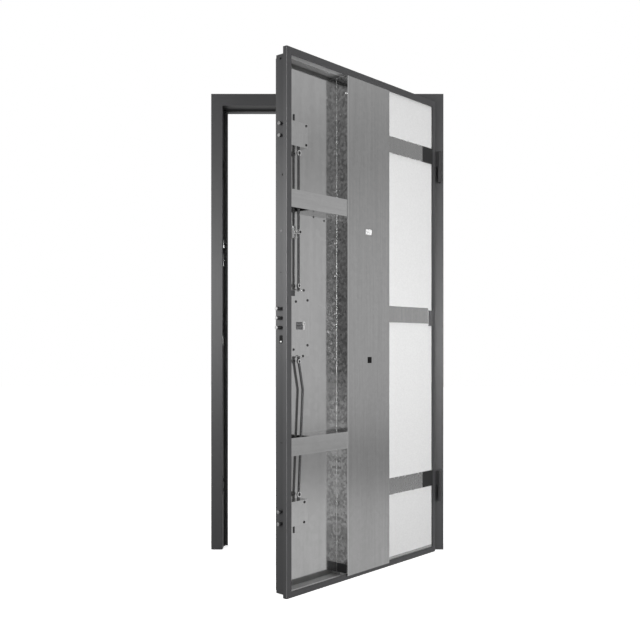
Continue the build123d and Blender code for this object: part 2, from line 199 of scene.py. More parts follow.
# fresh galvanised bar: a little paler than the panel, streaked along its length
paleZinc = {**rolledZinc, "dark": "#b8b8b8", "light": "#d0d0d0", "roll": (30.0, 1.0, 1.0), "streakMm": 8.0}
# galvanised bar: the panel's sheet made a little grey as painted shade, for the duller reflection these bars catch
shadedBarZinc = {**rolledZinc, "dark": "#a0a0a0", "light": "#b6b6b6", "spangleMm": 12.0, "roughness": (0.2, 0.3)}
# zinc along a press-brake bend: dull, with no clear reflection, and paler as partly a painted highlight of the corner
# line
dullZinc = {**shadedBarZinc, "dark": "#a8a8a8", "light": "#c0c0c0", "roughness": (0.42, 0.55)}
# zinc burnt by a spot weld: as dull as the bend, and darker
weldZinc = {**dullZinc, "dark": "#7c7c7c", "light": "#949494"}
# zinc-plated lock covers: close in tone to the sheet, finer and a little brighter
platedZinc = {
    "dark": "#bababa", "light": "#cdcdcd", "spangleMm": 12.0, "crystals": 0.15, "streakMm": 9.0,
    "roll": (1.0, 1.0, 10.0), "waveMm": 60.0, "wave": 0.03, "roughness": (0.16, 0.24), "metallic": 1.0,
}
# bare zinc inside the folded members: dull and pale, streaked along the fold
bareZinc = {
    "dark": "#bebebe", "light": "#e4e4e4", "spangleMm": 30.0, "crystals": 0.1, "streakMm": 9.0,
    "waveMm": 80.0, "wave": 0.02, "roughness": (0.38, 0.5), "metallic": 0.1,
}


def makeFinish(name, shaderOf, look):
    material, tree = newMaterial(name)
    place = addNode(tree, "ShaderNodeTexCoord")
    closeMaterial(tree, shaderOf(tree, place, look))
    return material


# centre panel: rolled sheet whose free long edge is painted paler, a painted highlight where the rolled edge catches
# the light
panelEdgeHighlight = {"widthMm": 7.0, "edge": {**rolledZinc, "dark": "#bcbcbc", "light": "#e2e2e2"}}


def makePanel(name):
    material, tree = newMaterial(name)
    place = addNode(tree, "ShaderNodeTexCoord")
    across = addNode(tree, "ShaderNodeVectorMath", {"operation": "DOT_PRODUCT", 1: sDir}, {0: (place, "Object")})
    start = reach("centre_panel", sDir)[0]
    end = start + panelEdgeHighlight["widthMm"] * mm
    # painted highlight: the zinc turns paler over the last few millimetres of the free edge
    paintedHighlight = addNode(tree, "ShaderNodeMapRange",
                        {"interpolation_type": "SMOOTHSTEP", "From Min": start, "From Max": end,
                         "To Min": 1.0, "To Max": 0.0}, {"Value": (across, "Value")})
    middle, edge = zincShader(tree, place, rolledZinc), zincShader(tree, place, panelEdgeHighlight["edge"])
    closeMaterial(tree, addNode(tree, "ShaderNodeMixShader", None, {0: (paintedHighlight, 0), 1: (middle, 0), 2: (edge, 0)}))
    return material


def maskPast(tree, place, output, direction, limit, side="GREATER_THAN"):
    # 1 where the place or the normal reaches past a limit along a direction, and 0 elsewhere
    reached = addNode(tree, "ShaderNodeVectorMath", {"operation": "DOT_PRODUCT", 1: direction}, {0: (place, output)})
    return addNode(tree, "ShaderNodeMath", {"operation": side, 1: limit}, {0: (reached, "Value")})


# the frame's coat painted mid grey as painted light: the highlight along a front fold and the light on the stop of the
# head
paintedLightCoat = {**powderCoat, "dark": "#6c6c6d", "light": "#808081"}
# folded member: coated on its outer faces, with a painted highlight paler along its front fold, bare zinc on the faces
# towards the inside
foldedMember = {
    "coat": powderCoat, "bare": bareZinc, "highlightMm": 1.0, "flangeMm": 3.0, "lipMm": 30.0, "backMm": 8.0, "turn": 0.5,
}


def makeFoldedMember(name, inward, roll, fold=None):
    material, tree = newMaterial(name)
    place = addNode(tree, "ShaderNodeTexCoord")
    turn = foldedMember["turn"]
    front = leafOrigin.dot(tDir)
    highlightFace, flange, back, lip = [front + foldedMember[k] * mm for k in ("highlightMm", "flangeMm", "backMm", "lipMm")]
    # the web behind the flange, the lip at the back, and the back of the flange
    bareFaces = [
        (maskPast(tree, place, "Normal", inward, turn), maskPast(tree, place, "Object", tDir, flange)),
        (maskPast(tree, place, "Normal", -tDir, turn), maskPast(tree, place, "Object", tDir, lip)),
        (maskPast(tree, place, "Normal", tDir, turn), maskPast(tree, place, "Object", tDir, back, "LESS_THAN")),
    ]
    inside = None
    for turned, placed in bareFaces:
        both = addNode(tree, "ShaderNodeMath", {"operation": "MULTIPLY"}, {0: (turned, 0), 1: (placed, 0)})
        if inside is not None:
            both = addNode(tree, "ShaderNodeMath", {"operation": "MAXIMUM"}, {0: (inside, 0), 1: (both, 0)})
        inside = both
    outer = coatShader(tree, place, foldedMember["coat"])
    # painted highlight: the coat turns mid grey along the front fold, where its rounded corner catches the light
    if fold:
        limit = leafOrigin.dot(fold) + foldedMember["highlightMm"] * mm
        nearFold = maskPast(tree, place, "Object", fold, limit, "LESS_THAN")
        nearFace = maskPast(tree, place, "Object", tDir, highlightFace, "LESS_THAN")
        foldHighlight = addNode(tree, "ShaderNodeMath", {"operation": "MULTIPLY"}, {0: (nearFold, 0), 1: (nearFace, 0)})
        litShader = coatShader(tree, place, paintedLightCoat)
        outer = addNode(tree, "ShaderNodeMixShader", None, {0: (foldHighlight, 0), 1: (outer, 0), 2: (litShader, 0)})
    inner = zincShader(tree, place, {**foldedMember["bare"], "roll": roll})
    closeMaterial(tree, addNode(tree, "ShaderNodeMixShader", None, {0: (inside, 0), 1: (outer, 0), 2: (inner, 0)}))
    return material


# head of the frame: the same coat, painted paler on the face of its stop as painted light on that shaded face
stopFace = {"behindFrontMm": 20.0, "turn": 0.5}


def makeHeadCoat(name):
    material, tree = newMaterial(name)
    place = addNode(tree, "ShaderNodeTexCoord")
    backward = Vector((0.0, 1.0, 0.0))
    # painted light: the stop's face towards the room takes the paler coat
    facesRoom = maskPast(tree, place, "Normal", -backward, stopFace["turn"])
    deep = maskPast(tree, place, "Object", backward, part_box("head")[0].y + stopFace["behindFrontMm"] * mm)
    litStop = addNode(tree, "ShaderNodeMath", {"operation": "MULTIPLY"}, {0: (facesRoom, 0), 1: (deep, 0)})
    coat, litShader = coatShader(tree, place, powderCoat), coatShader(tree, place, paintedLightCoat)
    closeMaterial(tree, addNode(tree, "ShaderNodeMixShader", None, {0: (litStop, 0), 1: (coat, 0), 2: (litShader, 0)}))
    return material


# turned steel bolt: dark oiled shank and a paler ground end, the split by facing partly painted light and shade: the
# end towards the lamps painted lit, the shank darkened as a painted reflection of a dark room; the tool marks in its
# gloss are drawn coarser than real, and show only close up
lockBolt = {
    "shank": "#4a4a4b", "end": "#838383", "lineMm": 1.2, "roughness": (0.22, 0.38), "metallic": 0.4, "turn": 0.6,
}


def makeLockBolt(name):
    material, tree = newMaterial(name)
    place = addNode(tree, "ShaderNodeTexCoord")
    # painted light and shade: faces towards the free edge take the pale end colour, the rest the dark shank
    end = maskPast(tree, place, "Normal", -sDir, lockBolt["turn"])
    tint = addNode(tree, "ShaderNodeMix",
                   {"data_type": "RGBA", 6: toLinear(lockBolt["shank"]), 7: toLinear(lockBolt["end"])}, {0: (end, 0)})
    turning = addNode(tree, "ShaderNodeTexNoise", {"Scale": perMetre(lockBolt["lineMm"]), "Detail": 2.0},
                      {"Vector": (place, "Object")})
    smooth, dull = lockBolt["roughness"]
    rough = addNode(tree, "ShaderNodeMapRange", {"To Min": smooth, "To Max": dull}, {"Value": (turning, "Fac")})
    closeMaterial(tree, addNode(tree, "ShaderNodeBsdfPrincipled", {"Metallic": lockBolt["metallic"]},
                                {"Base Color": (tint, 2), "Roughness": (rough, 0)}))
    return material


# expanded polystyrene board: matt white beads pressed together
foamBoard = {"dark": "#d7d7d7", "light": "#dddddd", "beadMm": 5.0, "bead": 0.06, "roughness": 0.85}


def makeFoamBoard(name):
    material, tree = newMaterial(name)
    place = addNode(tree, "ShaderNodeTexCoord")
    beads = addNode(tree, "ShaderNodeTexVoronoi", {"Scale": perMetre(foamBoard["beadMm"])},
                    {"Vector": (place, "Object")})
    shade = addNode(tree, "ShaderNodeSeparateColor", None, {"Color": (beads, "Color")})
    dark, light = toLinear(foamBoard["dark"]), toLinear(foamBoard["light"])
    tint = addNode(tree, "ShaderNodeMix", {"data_type": "RGBA", 6: dark, 7: light}, {0: (shade, 0)})
    bump = addNode(tree, "ShaderNodeBump",
                   {"Strength": foamBoard["bead"], "Distance": relief["beadMm"] * mm, "invert": True},
                   {"Height": (beads, "Distance")})
    closeMaterial(tree, addNode(tree, "ShaderNodeBsdfPrincipled", {"Roughness": foamBoard["roughness"]},
                                {"Base Color": (tint, 2), "Normal": (bump, 0)}))
    return material


# extruded rubber: dead matt black with a faint bloom
sealRubber = {"dark": "#161616", "light": "#212121", "cloudMm": 40.0, "peelMm": 2.0, "peel": 0.2,
              "roughness": (0.6, 0.75), "shine": 0.3}
# moulded plug in the spindle hole: flat black plastic
blackPlug = {**sealRubber, "dark": "#090909", "light": "#101010", "shine": 0.15}
# oxidised drawn steel: dark with a soft shine along the bar, its lines drawn coarser than real
drawnSteel = {
    "dark": "#343435", "light": "#4c4c4d", "spangleMm": 3.0, "crystals": 0.2, "streakMm": 3.0,
    "roll": (1.0, 1.0, 20.0), "waveMm": 20.0, "wave": 0.05, "roughness": (0.28, 0.4), "metallic": 0.35,
}
# ground steel behind the window and in the limiter's screw: paler than the rods, with a soft shine
groundSteel = {**drawnSteel, "dark": "#4c4c4d", "light": "#6a6a6b"}
# drawn rod: oxidised dull and dark towards the room; the side that runs along the sheet is painted pale as painted
# light, so its reflection in the sheet reads lit
rodSteelPaintedLight = {
    "front": {**drawnSteel, "dark": "#303031", "light": "#434344", "metallic": 0.1, "roughness": (0.4, 0.5)},
    "back": {**drawnSteel, "dark": "#9a9a9a", "light": "#b4b4b4", "metallic": 0.2}, "turn": 0.25,
}


def makeRod(name):
    material, tree = newMaterial(name)
    place = addNode(tree, "ShaderNodeTexCoord")
    # painted light: the side towards the sheet takes the pale back colour
    paintedLitSide = maskPast(tree, place, "Normal", tDir, rodSteelPaintedLight["turn"])
    front, back = zincShader(tree, place, rodSteelPaintedLight["front"]), zincShader(tree, place, rodSteelPaintedLight["back"])
    closeMaterial(tree, addNode(tree, "ShaderNodeMixShader", None,
                                {0: (paintedLitSide, 0), 1: (front, 0), 2: (back, 0)}))
    return material


# blued steel of screws, pins and foot plates: darker than the rods
bluedSteel = {**drawnSteel, "dark": "#1e1e1f", "light": "#303031"}
# nickel plate: bright and nearly smooth
nickelPlate = {
    "dark": "#dedede", "light": "#efefef", "spangleMm": 2.0, "crystals": 0.2, "streakMm": 2.0,
    "roll": (1.0, 1.0, 1.0), "waveMm": 8.0, "wave": 0.02, "roughness": (0.14, 0.22), "metallic": 1.0,
}

coated = makeFinish("satinPowderCoat", coatShader, powderCoat)
bright = makeFinish("brightGalvanisedSheet", zincShader, brightSheet)
rolled = makeFinish("rolledGalvanisedPanel", zincShader, rolledZinc)
pale = makeFinish("paleGalvanisedBar", zincShader, paleZinc)
grey = makeFinish("greyGalvanisedBarPaintedShade", zincShader, shadedBarZinc)
dull = makeFinish("dullGalvanisedBendPaintedHighlight", zincShader, dullZinc)
plated = makeFinish("platedZincCover", zincShader, platedZinc)
lacquered = makeFinish("blackLacquer", coatShader, blackLacquer)
oxidised = makeFinish("oxidisedDrawnSteel", zincShader, drawnSteel)
nickel = makeFinish("nickelPlate", zincShader, nickelPlate)
blued = makeFinish("bluedSteel", zincShader, bluedSteel)
ground = makeFinish("groundSteel", zincShader, groundSteel)
plug = makeFinish("mouldedBlackPlug", coatShader, blackPlug)
boltSteel = makeLockBolt("turnedBoltSteelPaintedShade")
foam = makeFoamBoard("polystyreneBoard")
slotFinish = {
    "frame_paint": coated,
    "exterior_aluminium": makeFinish("texturedAluminiumCoat", coatShader, claddingCoat),
    "seal_rubber": makeFinish("extrudedRubber", coatShader, sealRubber),
    "galvanised": rolled,
    "lock_zinc": plated,
    "black_bracket": lacquered,
    "bolt_steel": boltSteel,
    "rod_steel": oxidised,
    "insulation_board": foam,
}
hinged = makeFinish("darkHingeCoat", coatShader, hingeCoat)
rods = makeRod("drawnRodSteelPaintedBackLight")
nodeFinish = {
    "upper_frame_hinge": hinged,
    "lower_frame_hinge": hinged,
    "upper_leaf_hinge": hinged,
    "lower_leaf_hinge": hinged,
    "middle_hinge_bracket": makeFinish("paleBracketCoat", coatShader, bracketCoat),
    "back_sheet": bright,
    "centre_panel": makePanel("rolledPanelPaintedEdgeHighlight"),
    "spindle_insert": plug,
    "stiffener_rib": makeFinish("mottledGalvanisedWall", zincShader, mottledZinc),
    "head": makeHeadCoat("coatedHeadPaintedStopLight"),
    "lock_cylinder": nickel,
    "upper_rod": rods,
    "lower_rod": rods,
    "upper_lock_bar": pale,
    "lower_lock_bar": pale,
    # the upper and lower hinge bars carry painted shade: a greyer copy of the panel's zinc
    "upper_hinge_bar": grey,
    "lower_hinge_bar": grey,
    "lock_stile": makeFoldedMember("coatedLockStilePaintedFoldHighlight", sDir, (1.0, 1.0, 20.0), sDir),
    "hinge_stile": makeFoldedMember("coatedHingeStile", -sDir, (1.0, 1.0, 20.0)),
    "top_rail": makeFoldedMember("coatedTopRail", -zDir, (20.0, 1.0, 1.0)),
    "bottom_rail": makeFoldedMember("coatedBottomRail", zDir, (20.0, 1.0, 1.0)),
}
# small bevels catch the light on every edge, wider on the frame and the cladding
softEdges = {
    "thinMm": 0.5, "memberMm": 1.2, "members": ("lock_jamb", "hinge_jamb", "head", "exterior_panel"), "segments": 2,
    "sharperThan": 50.0,
}
for row in frame["record"]["subparts"]:
    piece = nodes[row["node"]]
    piece.data.materials.clear()
    piece.data.materials.append(nodeFinish.get(row["node"], slotFinish[row["material_slot"]]))
    edge = piece.modifiers.new("softEdges", "BEVEL")
    edge.width = softEdges["memberMm" if row["node"] in softEdges["members"] else "thinMm"] * mm
    edge.segments = softEdges["segments"]
    edge.limit_method = "ANGLE"
    edge.angle_limit = math.radians(softEdges["sharperThan"])
print("finishes on", len(nodes), "nodes")


# small turned pieces: a profile of (radius, height) in mm, spun round a spot
def spin(mesh, profile, spot, steps=20, closed=False):
    rings = []
    for radius, height in profile:
        count = 1 if radius == 0 else steps
        rings.append([
            mesh.verts.new(spot @ Vector((
                radius * mm * math.cos(2 * math.pi * i / steps),
                radius * mm * math.sin(2 * math.pi * i / steps),
                height * mm,
            )))
            for i in range(count)
        ])
    following = rings[1:] + (rings[:1] if closed else [])
    for lower, upper in zip(rings, following):
        for i in range(steps):
            j = (i + 1) % steps
            corners = [lower[i % len(lower)], lower[j % len(lower)], upper[j % len(upper)], upper[i % len(upper)]]
            unique = list(dict.fromkeys(corners))
            if len(unique) > 2:
                mesh.faces.new(unique)


def plate(mesh, size, spot, corner=1.0, chamfer=0.3):
    # a pressed plate of (width, height, thickness) in mm, round at the corners, standing on its spot
    width, height, thick = size
    rings = []
    for level, inset in ((0.0, 0.0), (thick - chamfer, 0.0), (thick, chamfer)):
        ring = []
        for x, y, start in ((1, 1, 0), (-1, 1, 90), (-1, -1, 180), (1, -1, 270)):
            for angle in (start, start + 30, start + 60, start + 90):
                turn = math.radians(angle)
                ring.append(mesh.verts.new(spot @ (Vector((
                    x * (width / 2 - corner) + (corner - inset) * math.cos(turn),
                    y * (height / 2 - corner) + (corner - inset) * math.sin(turn),
                    level,
                )) * mm)))
        rings.append(ring)
    for lower, upper in zip(rings, rings[1:]):
        for i in range(len(lower)):
            j = (i + 1) % len(lower)
            mesh.faces.new((lower[i], lower[j], upper[j], upper[i]))
    mesh.faces.new(rings[0])
    mesh.faces.new(rings[-1])


# the small pieces are shaded smooth, and crisp where an edge turns by more than this
crispAngle = 35.0


def addPiece(name, mesh, body, material):
    bmesh.ops.recalc_face_normals(mesh, faces=mesh.faces)
    data = bpy.data.meshes.new(name)
    mesh.to_mesh(data)
    mesh.free()
    data.materials.append(material)
    data.shade_smooth()
    piece = bpy.data.objects.new(name, data)
    bpy.context.scene.collection.objects.link(piece)
    crease = piece.modifiers.new("crispEdges", "EDGE_SPLIT")
    crease.split_angle = math.radians(crispAngle)
    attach(piece, body)


# screws on the lock covers, each as (cover, from its free end, from its top) in mm
caseScrews = {
    "head": [(0, 0.4), (2.1, 0.4), (2.3, 2.0), (3.9, 2.2), (4.7, 1.5), (5.0, 0.0), (0, 0.0)],
    "spots": [
        ("lock_case", 11, 35), ("lock_case", 11, 205), ("lock_case", 76, 42), ("lock_case", 89, 221),
        ("upper_deviator", 9, 8), ("upper_deviator", 9, 80), ("lower_deviator", 19, 9), ("lower_deviator", 21, 84),
    ],
}
mesh = bmesh.new()
for cover, fromEnd, fromTop in caseScrews["spots"]:
    low, high = leafSpan(cover)
    spin(mesh, caseScrews["head"], leafSpot(high.x - fromEnd * mm, low.y, high.z - fromTop * mm, "room"))
addPiece("caseScrews", mesh, "leaf", blued)

# bright washers and dark pins in the eyes of the rods
rodEyes = {
    "washer": [(4.9, 0.0), (8.2, 0.0), (8.6, 0.6), (8.1, 1.7), (5.3, 1.7)],
    "pin": [(0, 2.6), (4.0, 2.6), (4.7, 1.9), (4.8, -6.0), (0, -6.0)],
    "eyeMm": 3.0, "lockGapMm": 19.0, "deviatorGapMm": 22.0, "deviatorSize": 1.28,
}
eyeLevels = {
    "upper_rod": (
        (leafSpan("lock_case")[1].z + rodEyes["lockGapMm"] * mm, 1.0),
        (leafSpan("upper_deviator")[0].z - rodEyes["deviatorGapMm"] * mm, rodEyes["deviatorSize"]),
    ),
    "lower_rod": (
        (leafSpan("lower_deviator")[1].z + rodEyes["deviatorGapMm"] * mm, rodEyes["deviatorSize"]),
        (leafSpan("lock_case")[0].z - rodEyes["lockGapMm"] * mm, 1.0),
    ),
}
straightLow, straightHigh = leafSpan("upper_rod")
rodMiddle = (straightLow + straightHigh) / 2
for rod, levels in eyeLevels.items():
    washers, pins = bmesh.new(), bmesh.new()
    for level, size in levels:
        spot = leafSpot(rodMiddle.x, rodMiddle.y - rodEyes["eyeMm"] * mm, level, "room")
        spin(washers, [(r * size, h) for r, h in rodEyes["washer"]], spot, closed=True)
        spin(pins, [(r * size, h) for r, h in rodEyes["pin"]], spot)
    addPiece(rod + "_washers", washers, rod, nickel)
    addPiece(rod + "_pins", pins, rod, blued)

# spot welds down the wall of the stiffener, as heights in mm
spotWelds = {
    "nugget": [(0, 0.25), (2.6, 0.25), (3.8, 0.12), (4.4, 0.0), (0, -0.2)],
    "levels": (1700, 1330, 1200, 1050, 870, 465, 1535, 700, 300, 130), "fromSheetMm": 9.0,
}
ribLow, ribHigh = leafSpan("stiffener_rib")
mesh = bmesh.new()
weldDepth = ribHigh.y - spotWelds["fromSheetMm"] * mm
for level in spotWelds["levels"]:
    spin(mesh, spotWelds["nugget"], leafSpot(ribLow.x, weldDepth, level * mm, "edge"))
addPiece("spotWelds", mesh, "leaf", makeFinish("burntWeldZinc", zincShader, weldZinc))

# pale bend where the stiffener meets the sheet; its paleness is partly painted highlight of the corner
footBend = {"radiusMm": 1.1, "steps": 5}
mesh = bmesh.new()
section = [(0.0, 0.0)] + [
    (-footBend["radiusMm"] * (1 - math.sin(a)), -footBend["radiusMm"] * (1 - math.cos(a)))
    for a in [math.pi / 2 * i / footBend["steps"] for i in range(footBend["steps"] + 1)]
]
loops = []
for level in (ribLow.z, ribHigh.z):
    loops.append([
        mesh.verts.new(leafMatrix @ Vector((ribLow.x + s * mm, ribHigh.y + t * mm, level))) for s, t in section
    ])
mesh.faces.new(loops[0])
mesh.faces.new(loops[1])
for i in range(len(section)):
    j = (i + 1) % len(section)
    mesh.faces.new((loops[0][i], loops[0][j], loops[1][j], loops[1][i]))
addPiece("stiffenerBend", mesh, "leaf", dull)

# plug and keyway in both ends of the lock cylinder; the keyway is a black plate, painted shade of its slot
keyPlug = {
    "disc": [(0, 0.9), (5.6, 0.9), (6.4, 0.5), (6.6, 0.0), (0, 0.0)], "barrelMm": 8.5,
    "keyway": {"room": (1.8, 7.0, 1.2), "outside": (7.0, 1.8, 1.2)},
}
cylinderLow, cylinderHigh = leafSpan("lock_cylinder")
barrelLevel = cylinderHigh.z - keyPlug["barrelMm"] * mm
barrelS = (cylinderLow.x + cylinderHigh.x) / 2
plugs, keyways = bmesh.new(), bmesh.new()
for t, side in ((cylinderLow.y, "room"), (cylinderHigh.y, "outside")):
    spot = leafSpot(barrelS, t, barrelLevel, side)
    spin(plugs, keyPlug["disc"], spot)
    plate(keyways, keyPlug["keyway"][side], spot)
addPiece("cylinderPlugs", plugs, "leaf", nickel)
addPiece("cylinderKeywaysPaintedShade", keyways, "leaf", lacquered)

# round rose over the cylinder on the outer face
cylinderRose = {
    "profile": [(9.0, 0.0), (25.5, 0.0), (27.5, 0.8), (27.0, 2.2), (24.0, 3.5), (9.0, 3.5)], "steps": 40,
}
mesh = bmesh.new()
outerFace = leafSpan("exterior_panel")[1].y
spot = leafSpot(barrelS, outerFace, (cylinderLow.z + cylinderHigh.z) / 2, "outside")
spin(mesh, cylinderRose["profile"], spot, cylinderRose["steps"], closed=True)
addPiece("cylinderRose", mesh, "leaf", nickel)

# plates seen through the window of the lock case, with a joint between them
windowPlates = {"size": (38.0, 13.4, 1.5), "s": 103.0, "levels": (989.7, 1004.3), "behindMm": 4.5}
caseFace = leafSpan("lock_case")[0].y
mesh = bmesh.new()
for level in windowPlates["levels"]:
    spot = leafSpot(windowPlates["s"] * mm, caseFace + windowPlates["behindMm"] * mm, level * mm, "room")
    plate(mesh, windowPlates["size"], spot)
addPiece("windowPlates", mesh, "leaf", ground)

# ears that fix the lock case at its ends, with a screw and a slot beside each, as (s, z, slot s, slot z) in mm,
# and a dark plate at its upper corner; the black slots and the dark corner plate are painted shade, of the slots'
# hollows and of the shadow by the case's corner
caseEars = {
    "ear": (17.0, 13.0, 1.6), "round": 4.0, "behindMm": 1.5, "slot": (14.0, 2.4, 0.5),
    "spots": [(128.5, 1131.0, 96.6, 1126.8), (124.6, 883.5, 91.0, 886.0)],
    "corner": (20.0, 21.5, 0.4), "cornerAt": (70.0, 1118.0),
}
ears, slots, screws = bmesh.new(), bmesh.new(), bmesh.new()
for s, z, slotS, slotZ in caseEars["spots"]:
    spot = leafSpot(s * mm, caseFace + caseEars["behindMm"] * mm, z * mm, "room")
    plate(ears, caseEars["ear"], spot, caseEars["round"])
    spin(screws, caseScrews["head"], leafSpot(s * mm, caseFace, z * mm, "room"))
    plate(slots, caseEars["slot"], leafSpot(slotS * mm, caseFace, slotZ * mm, "room"))
addPiece("caseEars", ears, "leaf", plated)
addPiece("caseEarScrews", screws, "leaf", blued)
addPiece("caseSlotsPaintedShade", slots, "leaf", lacquered)
mesh = bmesh.new()
s, z = caseEars["cornerAt"]
plate(mesh, caseEars["corner"], leafSpot(s * mm, caseFace, z * mm, "room"))
addPiece("caseCornerPaintedShade", mesh, "leaf", oxidised)

# guide pins standing out of the far ends of the deviators
deviatorPins = {"pin": [(0, 27.0), (3.2, 27.0), (4.0, 26.0), (4.0, 0.0), (0, 0.0)], "s": 84.0, "t": 42.0}
mesh = bmesh.new()
for level, flip in ((leafSpan("upper_deviator")[1].z, 1), (leafSpan("lower_deviator")[0].z, -1)):
    foot = Matrix.Translation((deviatorPins["s"] * mm, deviatorPins["t"] * mm, level))
    spin(mesh, deviatorPins["pin"], leafMatrix @ foot @ Matrix.Scale(flip, 4, zDir))
addPiece("deviatorPins", mesh, "leaf", oxidised)

# foot of the rod guide in bare zinc, dull and pale, and the screw in its block, as (s, t, z) from its low corner in mm
guideFoot = {
    "plate": (10.0, 44.0, 1.0), "at": (7.0, 20.0, 23.0), "upright": (38.0, 14.0, 1.0), "uprightAt": (1.0, 15.0, 19.0),
    "round": 2.0, "screw": (25.5, 0.0, 23.0), "finish": {**bareZinc, "roll": (1.0, 1.0, 20.0)},
}
guideLow = leafSpan("rod_guide")[0]
mesh = bmesh.new()
for shape, at, side in (("plate", "at", "room"), ("upright", "uprightAt", "edge")):
    plate(mesh, guideFoot[shape], leafSpot(*(guideLow + Vector(guideFoot[at]) * mm), side), guideFoot["round"])
footZinc = makeFinish("bareZincFoot", zincShader, guideFoot["finish"])
addPiece("guideFootPlate", mesh, "leaf", footZinc)
mesh = bmesh.new()
spin(mesh, caseScrews["head"], leafSpot(*(guideLow + Vector(guideFoot["screw"]) * mm), "room"))
addPiece("guideScrews", mesh, "leaf", blued)

# white board closing the viewer opening from behind
viewerPlug = {"size": (41.0, 22.0, 7.2), "at": (486.0, 6.0, 1382.0), "round": 1.2}
mesh = bmesh.new()
plate(mesh, viewerPlug["size"], leafSpot(*[v * mm for v in viewerPlug["at"]], "room"), viewerPlug["round"])
addPiece("viewerPlug", mesh, "leaf", foam)

# dark plate at the foot of the stiffener, painted shade where the wall's foot mirrors the dark bottom flange, and a
# screw near its top, as (t, z) in mm, and a notch by the foot of the panel, as (s, z), a black plate as painted shade
# of its hollow
stiffenerFoot = {
    "plate": (36.0, 48.0, 1.4), "plateAt": (28.5, 43.0), "screwAt": (5.0, 1917.0), "notch": (8.5, 9.0, 0.4),
    "notchAt": (345.5, 19.0),
}
mesh = bmesh.new()
t, z = stiffenerFoot["plateAt"]
plate(mesh, stiffenerFoot["plate"], leafSpot(ribLow.x, t * mm, z * mm, "edge"))
addPiece("stiffenerFootPaintedShade", mesh, "leaf", blued)
mesh = bmesh.new()
t, z = stiffenerFoot["screwAt"]
spin(mesh, caseScrews["head"], leafSpot(ribLow.x, t * mm, z * mm, "edge"))
addPiece("stiffenerScrew", mesh, "leaf", nickel)
mesh = bmesh.new()
s, z = stiffenerFoot["notchAt"]
# painted shade: a black plate stands for the notch's hollow
plate(mesh, stiffenerFoot["notch"], leafSpot(s * mm, 0, z * mm, "room"))
addPiece("panelFootNotchPaintedShade", mesh, "leaf", lacquered)

# latch, screws and slots on the lock edge, as (t, z) in mm; the black latch plate round the tongue and the black slots
# are painted shade of their hollows
lockEdge = {
    "s": 24.0, "latchPaintedShade": (30.0, 16.0, 0.7), "latchRound": 4.0, "latchAt": (50.8, 946.0), "tongueAt": (50.8, 937.5),
    "tongue": [(0, 2.4), (2.4, 2.2), (3.9, 1.3), (4.4, 0.6), (4.4, 0.0), (0, 0.0)],
    "screw": [(0, 0.3), (1.9, 0.3), (2.1, 1.0), (3.6, 1.1), (4.3, 0.6), (4.5, 0.0), (0, 0.0)],
    "screws": [(53.0, 1983.0), (42.0, 1553.0)], "limiterScrew": (49.0, 1347.0),
    "slot": (3.0, 10.0, 0.5), "slots": [(51.0, 1193.0), (49.0, 564.0)],
}


def edgeSpot(at):
    t, z = at
    return leafSpot(lockEdge["s"] * mm, t * mm, z * mm, "edge")


mesh = bmesh.new()
plate(mesh, lockEdge["latchPaintedShade"], edgeSpot(lockEdge["latchAt"]), lockEdge["latchRound"])
addPiece("latchPaintedShade", mesh, "leaf", plug)
mesh = bmesh.new()
spin(mesh, lockEdge["tongue"], edgeSpot(lockEdge["tongueAt"]))
addPiece("latchTongue", mesh, "leaf", grey)
mesh = bmesh.new()
for at in lockEdge["screws"]:
    spin(mesh, lockEdge["screw"], edgeSpot(at))
addPiece("lockEdgeScrews", mesh, "leaf", plug)
mesh = bmesh.new()
spin(mesh, lockEdge["screw"], edgeSpot(lockEdge["limiterScrew"]))
addPiece("limiterScrew", mesh, "leaf", ground)
mesh = bmesh.new()
for at in lockEdge["slots"]:
    plate(mesh, lockEdge["slot"], edgeSpot(at))
addPiece("lockEdgeSlotsPaintedShade", mesh, "leaf", lacquered)

# screws left in the inner sheet, as (s, z) in mm
sheetScrews = {"spots": [(209.6, 1418.0), (272.0, 1410.0)]}
sheetFace = leafSpan("back_sheet")[0].y
mesh = bmesh.new()
for s, z in sheetScrews["spots"]:
    spin(mesh, lockEdge["screw"], leafSpot(s * mm, sheetFace, z * mm, "room"))
addPiece("sheetScrews", mesh, "leaf", oxidised)

# bright catches on the strikes of the lock jamb, as (width, height, thickness, level) in mm
strikeCatches = {
    "limiter_strike": [(12.0, 40.0, 3.0, 1385.0), (14.0, 56.0, 2.4, 1309.0)],
    "lock_strike": [(24.0, 44.0, 2.4, 946.0)],
}
catchEdge = {"round": 3.0, "chamfer": 0.8}
towardsDoorway = Matrix(((0, 0, 1), (1, 0, 0), (0, 1, 0))).to_4x4()
mesh = bmesh.new()
for strike, catches in strikeCatches.items():
    low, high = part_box(strike)
    for width, height, thick, level in catches:
        face = high.x if low.z < level * mm < high.z else low.x
        spot = Matrix.Translation((face, (low.y + high.y) / 2, level * mm)) @ towardsDoorway
        plate(mesh, (width, height, thick), spot, catchEdge["round"], catchEdge["chamfer"])
addPiece("strikeCatches", mesh, "frame", plated)
print("small pieces placed")

